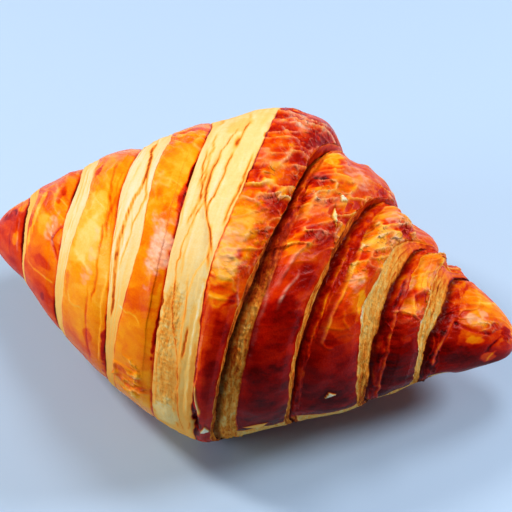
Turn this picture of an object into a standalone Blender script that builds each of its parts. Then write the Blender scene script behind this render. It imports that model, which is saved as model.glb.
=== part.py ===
"""Butter croissant: one solid of rolled dough, metres, +Z up, resting on its flat base.

The roll lies along X.  Its nine wraps narrow towards two blunt tips.  Each wrap laps over
its outer neighbour, so every seam is a step that faces a tip, and the seams slant round
the roll as the edge of a rolled triangle does.
"""
import math

import bmesh
import bpy
from mathutils import Matrix, Vector

# overall sizes of the baked croissant
LENGTH = 0.158
WIDTH = 0.106
ROUND_ABOVE = 0.041          # from the fat middle's centre up to its top
ROUND_BELOW = 0.043          # the same, downwards, before the base is cut flat
CENTRE_HEIGHT = 0.034        # the roll's axis above the table in the middle
TIP_HEIGHT = 0.020           # and at the two raised tips
TIP_BEND = 0.007             # how far both tips bend back, +Y
BEND_POWER = 1.6             # how late the axis bends and drops on its way to a tip
SQUARENESS = 0.93            # 1 is an ellipse, less is boxier
BELLY_TAPER = 1.35           # the underside narrows faster than the top, by this power

# girth from the middle (1) to a tip, left (-X) and right (+X)
TIP_GIRTH = {-1: 0.21, 1: 0.19}
TAPER_POWER = {-1: 1.60, 1: 1.24}
TIP_ROUNDING = 16            # high: the taper is kept until just before the blunt end

# seams from left to right: station along the roll (-1 to 1), slant round it
SEAMS = (
    (-0.860, -0.050),
    (-0.670, -0.050),
    (-0.470, -0.070),
    (-0.235, -0.055),
    (0.130, 0.095),
    (0.345, 0.080),
    (0.570, 0.065),
    (0.755, 0.045),
)
SLANT_ANGLE = math.radians(70)   # a seam crosses its own station at this angle, front to top

# wraps from left to right: share of the wrap taken by its step on the left and on the right
STEP_SHARES = (
    (0.0, 0.30),
    (0.14, 0.10),
    (0.30, 0.08),
    (0.47, 0.08),
    (0.50, 0.08),
    (0.16, 0.16),
    (0.14, 0.22),
    (0.14, 0.30),
    (0.18, 0.0),
)
STEP_DEPTHS = (0.0014, 0.0018, 0.0022, 0.0026, 0.0034, 0.0034, 0.0030, 0.0024)
CROWN_WRAP = 4               # the middle wrap, highest of all, counted from the left as 0
CROWN_FULLNESS = 0.45        # under 1 makes the lips fuller
FULL_STEP_GIRTH = 0.25       # thinner stretches of the roll get shallower steps
STEP_FADE = (-0.9, 0.1)      # the steps fade out below, between these sines of the angle

RINGS_PER_WRAP = 8
SIDES = 44
SNAP = 0.0005                # points this close to the base plane are put on it

COLLECTION = "croissant"
CRUST_COLOUR = (0.56, 0.20, 0.035, 1.0)
CRUST_ROUGHNESS = 0.38


def clear_scene():
    for obj in list(bpy.data.objects):
        bpy.data.objects.remove(obj, do_unlink=True)


def crust_material():
    material = bpy.data.materials.new("baked_crust")
    material.use_nodes = True
    shader = material.node_tree.nodes["Principled BSDF"]
    shader.inputs["Base Color"].default_value = CRUST_COLOUR
    shader.inputs["Roughness"].default_value = CRUST_ROUGHNESS
    shader.inputs["Metallic"].default_value = 0.0
    return material


def seam_station(number, angle):
    """Station of a seam at an angle round the roll; the two ends count as straight seams."""
    if number < 0:
        return -1.0
    if number >= len(SEAMS):
        return 1.0
    station, slant = SEAMS[number]
    return station + slant * math.sin(angle - SLANT_ANGLE)


def girth(station):
    """Share of the full girth left at a station."""
    side = -1 if station < 0 else 1
    reach = min(abs(station), 1.0)
    taper = math.hypot(1.0 - reach ** TAPER_POWER[side], TIP_GIRTH[side])
    return taper / math.hypot(1.0, TIP_GIRTH[side]) * math.sqrt(max(0.0, 1.0 - reach ** TIP_ROUNDING))


def seam_depth(wrap, share):
    """How far the surface lies below the crown, from one seam (0) to the next (1)."""
    left_share, right_share = STEP_SHARES[wrap]
    fall_left = fall_right = 0.0
    if wrap > 0:
        rise = min(1.0, share / (1.0 - right_share if wrap > CROWN_WRAP else left_share))
        fall_left = STEP_DEPTHS[wrap - 1] * (1.0 - math.sin(math.pi / 2 * rise) ** CROWN_FULLNESS)
    if wrap < len(SEAMS):
        rise = min(1.0, (1.0 - share) / (1.0 - left_share if wrap < CROWN_WRAP else right_share))
        fall_right = STEP_DEPTHS[wrap] * (1.0 - math.sin(math.pi / 2 * rise) ** CROWN_FULLNESS)
    return fall_left + fall_right


def surface_point(ring, angle):
    """Point of the croissant for a ring counted from the left tip and an angle from the front."""
    wrap = min(ring // RINGS_PER_WRAP, len(SEAMS))
    share = ring / RINGS_PER_WRAP - wrap
    start = seam_station(wrap - 1, angle)
    end = seam_station(wrap, angle)
    if wrap == 0:
        share = 1.0 - math.cos(math.pi / 2 * share)
    elif wrap == len(SEAMS):
        share = math.sin(math.pi / 2 * share)
    station = start + (end - start) * share
    size = girth(station)
    low, high = STEP_FADE
    fade = min(1.0, max(0.0, (math.sin(angle) - low) / (high - low)))
    depth = seam_depth(wrap, share) * min(1.0, size / FULL_STEP_GIRTH) * fade
    reach = abs(station) ** BEND_POWER
    centre = CENTRE_HEIGHT + (TIP_HEIGHT - CENTRE_HEIGHT) * reach
    across, up = math.cos(angle), math.sin(angle)
    height = ROUND_ABOVE * size if up > 0 else ROUND_BELOW * size ** BELLY_TAPER
    y = TIP_BEND * reach
    y -= math.copysign(abs(across) ** SQUARENESS, across) * (WIDTH / 2 * size - depth)
    z = centre + math.copysign(abs(up) ** SQUARENESS, up) * (height - depth)
    return Vector((LENGTH / 2 * station, y, z))


def shape_roll(mesh):
    """Bend a sphere with its poles at the two tips into the wraps of the roll."""
    rings = RINGS_PER_WRAP * (len(SEAMS) + 1)
    turn = Matrix.Rotation(math.pi / 2, 4, "Y")
    bmesh.ops.create_uvsphere(mesh, u_segments=SIDES, v_segments=rings, radius=1.0, matrix=turn)
    for vert in mesh.verts:
        ring = round(math.acos(max(-1.0, min(1.0, -vert.co.x))) / math.pi * rings)
        vert.co = surface_point(ring, math.atan2(vert.co.z, -vert.co.y))


def cut_base(mesh):
    """Cut the roll flat where it lay on the baking tray, at z = 0."""
    for vert in mesh.verts:
        if abs(vert.co.z) < SNAP:
            vert.co.z = 0.0
    everything = list(mesh.verts) + list(mesh.edges) + list(mesh.faces)
    bmesh.ops.bisect_plane(mesh, geom=everything, dist=1e-6, plane_co=(0, 0, 0),
                           plane_no=(0, 0, -1), clear_outer=True)
    rim = [edge for edge in mesh.edges if edge.is_boundary]
    bmesh.ops.contextual_create(mesh, geom=rim)
    bmesh.ops.remove_doubles(mesh, verts=mesh.verts, dist=SNAP / 5)
    bmesh.ops.recalc_face_normals(mesh, faces=mesh.faces)


def centre_on_base(mesh):
    """Put the middle of the bounding box over the origin."""
    xs = [vert.co.x for vert in mesh.verts]
    ys = [vert.co.y for vert in mesh.verts]
    middle = Vector(((min(xs) + max(xs)) / 2, (min(ys) + max(ys)) / 2, 0.0))
    bmesh.ops.translate(mesh, vec=-middle, verts=mesh.verts)


def build_croissant(collection):
    mesh = bmesh.new()
    shape_roll(mesh)
    cut_base(mesh)
    centre_on_base(mesh)
    data = bpy.data.meshes.new("croissant")
    mesh.to_mesh(data)
    mesh.free()
    data.shade_smooth()
    data.set_sharp_from_angle(angle=math.radians(50))
    data.materials.append(crust_material())
    croissant = bpy.data.objects.new("croissant", data)
    collection.objects.link(croissant)
    return croissant


def main():
    clear_scene()
    collection = bpy.data.collections.new(COLLECTION)
    bpy.context.scene.collection.children.link(collection)
    build_croissant(collection)


main()
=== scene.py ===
import math

import bpy
import numpy as np
from mathutils import Matrix, Vector


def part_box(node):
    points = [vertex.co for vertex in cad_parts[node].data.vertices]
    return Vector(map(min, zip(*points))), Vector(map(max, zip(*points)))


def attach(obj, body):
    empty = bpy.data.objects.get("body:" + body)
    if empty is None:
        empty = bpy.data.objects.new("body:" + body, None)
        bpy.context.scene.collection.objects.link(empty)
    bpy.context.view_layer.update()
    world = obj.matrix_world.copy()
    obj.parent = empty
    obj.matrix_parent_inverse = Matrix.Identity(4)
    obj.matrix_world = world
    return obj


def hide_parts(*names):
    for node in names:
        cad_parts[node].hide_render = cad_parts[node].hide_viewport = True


# Butter croissant on a pale table: nine wraps of laminated dough, each lapping over its outer
# neighbour, with egg-washed crowns and the cut layers of the dough bare on the steps between them.

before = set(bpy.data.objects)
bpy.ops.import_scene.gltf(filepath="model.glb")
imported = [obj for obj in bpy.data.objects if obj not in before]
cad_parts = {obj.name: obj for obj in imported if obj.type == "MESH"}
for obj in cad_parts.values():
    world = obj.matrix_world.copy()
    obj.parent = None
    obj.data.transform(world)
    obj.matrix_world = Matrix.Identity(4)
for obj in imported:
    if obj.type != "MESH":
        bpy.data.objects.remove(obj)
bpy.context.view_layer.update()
lowCorner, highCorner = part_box("croissant")
print("frame loaded")


# the roll under the wraps, metres; its proportions follow the solid it stands for
roll = {
    "halfLength": (highCorner.x - lowCorner.x) / 2,
    "halfWidth": (highCorner.y - lowCorner.y) / 2,
    "centreHeight": highCorner.z * 0.454,
    "roundAbove": highCorner.z * 0.547,
    "roundBelow": highCorner.z * 0.574,
    "tipHeight": highCorner.z * 0.267,
    "tipBend": (highCorner.y - lowCorner.y) * 0.066,
    "bendPower": 1.6,
    "squareness": 0.93,
    "bellyTaper": 1.35,
    "tipGirth": (0.21, 0.19),       # left, right
    "taperPower": (1.60, 1.24),
    "tipRounding": 16,
    "baseSoftness": 0.0016,         # how softly the underside turns into its flat base
}
millimetre = 0.001


noiseBlock = np.random.default_rng(31).random((32, 32, 32)) * 2 - 1


# Value noise from -1 to 1: random numbers at whole places, blended by 6t^5 - 15t^4 + 10t^3.
def softNoise(x, y, z):
    x, y, z = np.broadcast_arrays(x, y, z)
    cells = [np.floor(a).astype(int) for a in (x, y, z)]
    fades = []
    for a, cell in zip((x, y, z), cells):
        t = a - cell
        fades.append(t * t * t * (t * (t * 6 - 15) + 10))
    total = 0
    for i in (0, 1):
        for j in (0, 1):
            for k in (0, 1):
                weight = (fades[0] if i else 1 - fades[0]) * (fades[1] if j else 1 - fades[1])
                weight = weight * (fades[2] if k else 1 - fades[2])
                total = total + weight * noiseBlock[
                    (cells[0] + i) % 32, (cells[1] + j) % 32, (cells[2] + k) % 32]
    return total


# The same noise again and again, each time half as coarse and half as strong.
def roughNoise(x, y, z, times):
    total, strength, scale = 0, 1.0, 1.0
    for number in range(times):
        total = total + strength * softNoise(x * scale, y * scale, z * scale + 5.3 * number)
        strength, scale = strength * 0.5, scale * 2.03
    return total / 1.6


# Blisters from 0 to 1: one dome of its own size in each cell of a jittered grid.
def blisters(x, y, layer, share):
    cells = [np.floor(a).astype(int) for a in (x, y)]
    height = np.zeros(np.shape(x))
    for i in (-1, 0, 1):
        for j in (-1, 0, 1):
            a, b = (cells[0] + i) % 32, (cells[1] + j) % 32
            centreX = cells[0] + i + 0.5 + 0.45 * noiseBlock[a, b, layer % 32]
            centreY = cells[1] + j + 0.5 + 0.45 * noiseBlock[a, b, (layer + 1) % 32]
            size = 0.25 + 0.3 * (0.5 + 0.5 * noiseBlock[a, b, (layer + 2) % 32])
            there = noiseBlock[a, b, (layer + 3) % 32] * 0.5 + 0.5 < share
            far = np.hypot(x - centreX, y - centreY) / size
            height = np.maximum(height, np.where(there, np.clip(1 - far ** 2, 0, 1), 0))
    return height


# Crumpled skin from 0 to 1: sharp crests where a bent noise passes through zero, long along
# the roll and close together round it.
def crests(along, around, length, spacing, seed):
    bend = [1.5 * softNoise(along / 5, around / 5, seed + shift) for shift in (0, 7)]
    rise = 1 - 3.2 * np.abs(softNoise((along + bend[0]) / length, (around + bend[1]) / spacing, seed + 13))
    return np.clip(rise, 0, 1) ** 1.4


# 0 before low, 1 after high and an S-curve between.
def ease(value, low, high):
    t = np.clip((value - low) / (high - low), 0, 1)
    return t * t * (3 - 2 * t)


# A point of the bare roll.  Station runs -1 to 1 from the left tip to the right one, angle is
# 0 at the front, 90 degrees on top.  Each cross-section is a slightly boxy ellipse whose half
# axes shrink with the girth, on an axis that drops and bends back towards the tips, and what
# would lie under the table is pressed softly flat: z = (z + sqrt(z^2 + softness^2)) / 2.
def rollPoint(station, angle):
    reach = np.minimum(np.abs(station), 1)
    left = station < 0
    tip = np.where(left, *roll["tipGirth"])
    taper = np.hypot(1 - reach ** np.where(left, *roll["taperPower"]), tip) / np.hypot(1, tip)
    girth = taper * np.sqrt(np.clip(1 - reach ** roll["tipRounding"], 0, 1))
    bend = reach ** roll["bendPower"]
    across, up = np.cos(angle), np.sin(angle)
    height = np.where(up > 0, roll["roundAbove"] * girth, roll["roundBelow"] * girth ** roll["bellyTaper"])
    x = roll["halfLength"] * station
    y = roll["tipBend"] * bend - roll["halfWidth"] * girth * np.sign(across) * np.abs(across) ** roll["squareness"]
    z = roll["centreHeight"] + (roll["tipHeight"] - roll["centreHeight"]) * bend
    z = z + height * np.sign(up) * np.abs(up) ** roll["squareness"]
    z = (z + np.hypot(z, roll["baseSoftness"])) / 2
    return np.stack([x, y, z], -1)


# Which way the roll's skin faces: the cross product of its two slopes.
def rollNormal(station, angle):
    small = 1e-3
    inner = np.clip(station, -0.985, 0.985)
    along = rollPoint(inner + small, angle) - rollPoint(inner - small, angle)
    around = rollPoint(inner, angle + small) - rollPoint(inner, angle - small)
    normal = np.cross(along, around)
    return normal / np.maximum(np.linalg.norm(normal, axis=-1, keepdims=True), 1e-12)


def rollGirth(station):
    reach = np.minimum(np.abs(station), 1)
    left = station < 0
    tip = np.where(left, *roll["tipGirth"])
    return np.hypot(1 - reach ** np.where(left, *roll["taperPower"]), tip) / np.hypot(1, tip)


# angles at which rings of values are given: the foot of the front, the front, the shoulder, the
# top, the far side of the top, the back and two on the underside
ringAngles = (-20, 20, 50, 80, 110, 165, 222, 285)
# the same for an edge, whose stations are chosen at the first six; behind them it swings back
edgeAngles = (-20, 20, 50, 80, 110, 140, 165, 222, 285)


# All nine knots of an edge from the six chosen ones.
def wholeRing(stations):
    lean, middle = (stations[5] - stations[1]) / 2, (stations[5] + stations[1]) / 2
    return [*stations, middle + 1.05 * lean, middle + 0.3 * lean, middle - 0.9 * lean]


# A smooth closed curve through the knots: straight between them, then averaged over 20 degrees.
# One number stands for the same value all round.
def aroundRing(values, angle, knots=ringAngles):
    knots = np.radians(knots)
    values = np.broadcast_to(values, knots.shape)
    total = 0
    for shift, weight in ((-0.16, 1), (-0.08, 3), (0, 4), (0.08, 3), (0.16, 1)):
        total = total + weight * np.interp(angle + shift, knots, values, period=2 * math.pi)
    return total / 12


# The edge of a sheet of dough: the ring above with a baker's wander of a millimetre or less and
# a torn look of a fifth of that.
def sheetEdge(name, angle):
    seed = list(edges).index(name)
    curve = aroundRing(wholeRing(edges[name]), angle, edgeAngles)
    ripple = [softNoise(turns * np.cos(angle) + 9, turns * np.sin(angle) + 9, seed * 1.37) for turns in (2.2, 6.5, 22)]
    wander = np.where(curve > 0, 1.9, 1.0)
    return curve + wander * (0.0042 * ripple[0] + 0.0022 * ripple[1] + 0.0011 * ripple[2])


# stations of every edge, left to right, at the chosen angles
# foot: where a step's cut layers end on the outer neighbour; lip: where the crown ends and they
# begin; rise: where the outer neighbour's crown comes up out of the groove
edges = {
    "foot1": (-0.790, -0.815, -0.838, -0.860, -0.880, -0.900),
    "lip1": (-0.770, -0.795, -0.812, -0.832, -0.842, -0.858),
    "foot2": (-0.600, -0.640, -0.655, -0.672, -0.692, -0.712),
    "lip2": (-0.572, -0.587, -0.592, -0.588, -0.630, -0.662),
    "foot3": (-0.375, -0.390, -0.430, -0.470, -0.490, -0.528),
    "lip3": (-0.338, -0.337, -0.316, -0.345, -0.368, -0.418),
    "foot4": (-0.185, -0.190, -0.204, -0.219, -0.238, -0.284),
    "lip4": (-0.018, -0.026, -0.050, -0.016, -0.002, -0.002),
    "lip5": (0.034, 0.047, 0.084, 0.132, 0.164, 0.232),
    "foot5": (0.048, 0.068, 0.105, 0.148, 0.180, 0.247),
    "rise5": (0.115, 0.128, 0.150, 0.182, 0.198, 0.268),
    "lip6": (0.262, 0.273, 0.290, 0.325, 0.390, 0.482),
    "foot6": (0.282, 0.300, 0.324, 0.353, 0.408, 0.500),
    "rise6": (0.306, 0.325, 0.360, 0.398, 0.442, 0.530),
    "lip7": (0.484, 0.482, 0.451, 0.492, 0.565, 0.662),
    "foot7": (0.517, 0.537, 0.544, 0.565, 0.600, 0.686),
    "rise7": (0.551, 0.566, 0.579, 0.598, 0.636, 0.715),
    "lip8": (0.660, 0.665, 0.655, 0.665, 0.690, 0.772),
    "foot8": (0.685, 0.700, 0.723, 0.738, 0.746, 0.800),
    "rise8": (0.725, 0.747, 0.769, 0.781, 0.790, 0.832),
}

# where the whole roll swells or sinks: degrees, station, half height in degrees, half width in
# stations, millimetres outwards
rollSwells = [
    (132, -0.36, 36, 0.26, -2.2), (132, -0.52, 26, 0.08, -1.3), (128, -0.20, 26, 0.10, -1.0),
    (132, -0.86, 26, 0.05, 1.2), (134, 0.14, 26, 0.09, 2.2), (134, 0.285, 22, 0.045, -1.6),
    (134, 0.40, 22, 0.05, 0.2), (134, 0.56, 24, 0.085, -3.4), (134, 0.72, 24, 0.055, -4.4),
    (-22, -0.80, 26, 0.12, -1.4), (-30, 0.50, 26, 0.17, 1.4), (-27, 0.757, 18, 0.044, -3.5),
]


def swollen(at, swells):
    total = 0
    for turn, place, high, wide, out in swells:
        away = np.hypot((at["degrees"] - turn) / high, (at["station"] - place) / wide)
        total = total + out * np.exp(-1.6 * away ** 2)
    return total


# each side of a wrap: "tip"; "under" tucks below its neighbour's foot; "shelf" too, with a low
# shelf before its crown comes up; "sheets" steps down over wide thin sheets; "ledge" drops over
# a lip into a groove.  The last number is the groove's depth beside it in millimetres.
# Rings give a value at the eight knots, one number the same all round.
# bake: how brown the crown is, 0 cream to 1 nearly black; layers: the same for its cut layers
# shelf: the same for its shelf, and shelfBare: how far the wash is off it
# wrinkles: how crumpled the skin is; bulge: how far the crown swells, in millimetres
wraps = {
    "tipLeft": {"left": ("tip",), "right": ("under", "foot1", None, 1.0), "columns": 420, "rows": 80,
                "bake": (0.74, 0.68, 0.68, 0.74, 0.50, 0.60, 0.70, 0.72), "layers": 0.2, "wrinkles": 0.35, "bulge": 0.0},
    "outerLeft": {"lipLine": 0.12, "left": ("sheets", "foot1", "lip1", 1.0), "right": ("under", "foot2", None, 1.3), "columns": 580, "rows": 130,
                  "bake": (0.66, 0.60, 0.46, 0.48, 0.48, 0.54, 0.64, 0.70), "layers": 0.30, "wrinkles": 0.25, "bulge": 0.4},
    "middleLeft": {"lipLine": 0.15, "left": ("sheets", "foot2", "lip2", 1.3), "right": ("under", "foot3", None, 1.5), "columns": 700, "rows": 137,
                   "bake": (0.54, 0.42, 0.26, 0.34, 0.44, 0.52, 0.62, 0.70),
                   "layers": (0.34, 0.28, 0.16, 0.12, 0.18, 0.3, 0.4, 0.4), "wrinkles": 0.2, "bulge": 0.4},
    "innerLeft": {"lipLine": 0.2, "left": ("sheets", "foot3", "lip3", 1.5), "right": ("under", "foot4", None, 1.5), "columns": 700, "rows": 140,
                  "bake": (0.36, 0.46, 0.44, 0.38, 0.42, 0.54, 0.64, 0.70),
                  "layers": (0.40, 0.34, 0.14, 0.08, 0.16, 0.3, 0.4, 0.4), "wrinkles": 0.3, "bulge": 0.3},
    "centre": {"lipLine": 0.38, "left": ("sheets", "foot4", "lip4", 1.5), "right": ("ledge", "foot5", "lip5", 4.4), "columns": 700, "rows": 136,
               "bake": (0.80, 0.82, 0.62, 0.52, 0.72, 0.70, 0.70, 0.72),
               "layers": (0.42, 0.30, 0.16, 0.14, 0.20, 0.3, 0.4, 0.4), "wrinkles": 1.0, "bulge": 0.9,
               "riser": (0.68, 0.70, 0.70, 0.84, 0.86, 0.8, 0.8, 0.8)},
    "innerRight": {"left": ("shelf", "foot5", "rise5", 4.4), "right": ("ledge", "foot6", "lip6", 4.0), "columns": 700, "rows": 140,
                   "bake": (0.96, 0.90, 0.76, 0.60, 0.60, 0.62, 0.70, 0.72), "layers": 0.55, "wrinkles": 1.0, "bulge": 1.0,
                   "riser": (0.60, 0.58, 0.56, 0.76, 0.80, 0.75, 0.8, 0.8),
                   "shelf": (0.50, 0.60, 0.68, 0.86, 0.60, 0.7, 0.7, 0.7), "shelfBare": (1, 1, 0.8, 0.1, 0.3, 0.3, 0.3, 0.5)},
    "middleRight": {"left": ("shelf", "foot6", "rise6", 4.0), "right": ("ledge", "foot7", "lip7", 3.8), "columns": 700, "rows": 138,
                    "bake": (0.96, 0.88, 0.68, 0.57, 0.56, 0.62, 0.72, 0.74), "layers": 0.50, "wrinkles": 0.9, "bulge": 0.8,
                    "riser": (0.62, 0.50, 0.33, 0.38, 0.66, 0.7, 0.8, 0.8),
                    "shelf": (0.92, 0.82, 0.84, 0.82, 0.66, 0.7, 0.8, 0.8), "shelfBare": 0.0},
    "outerRight": {"left": ("shelf", "foot7", "rise7", 3.8), "right": ("ledge", "foot8", "lip8", 3.2), "columns": 660, "rows": 136,
                   "bake": (0.98, 0.97, 0.72, 0.46, 0.48, 0.60, 0.72, 0.74), "layers": 0.50, "wrinkles": 0.8, "bulge": 0.7,
                   "riser": (0.48, 0.44, 0.34, 0.40, 0.64, 0.7, 0.8, 0.8),
                   "shelf": (0.88, 0.90, 0.88, 0.86, 0.68, 0.7, 0.8, 0.8), "shelfBare": 0.0},
    "tipRight": {"left": ("shelf", "foot8", "rise8", 3.2), "right": ("tip",), "columns": 560, "rows": 116,
                 "bake": (0.94, 0.93, 0.66, 0.54, 0.48, 0.60, 0.72, 0.74), "layers": 0.5, "wrinkles": 0.6, "bulge": 0.3,
                 "shelf": (0.96, 0.98, 0.94, 0.78, 0.62, 0.7, 0.8, 0.8), "shelfBare": 0.0},
}


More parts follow.
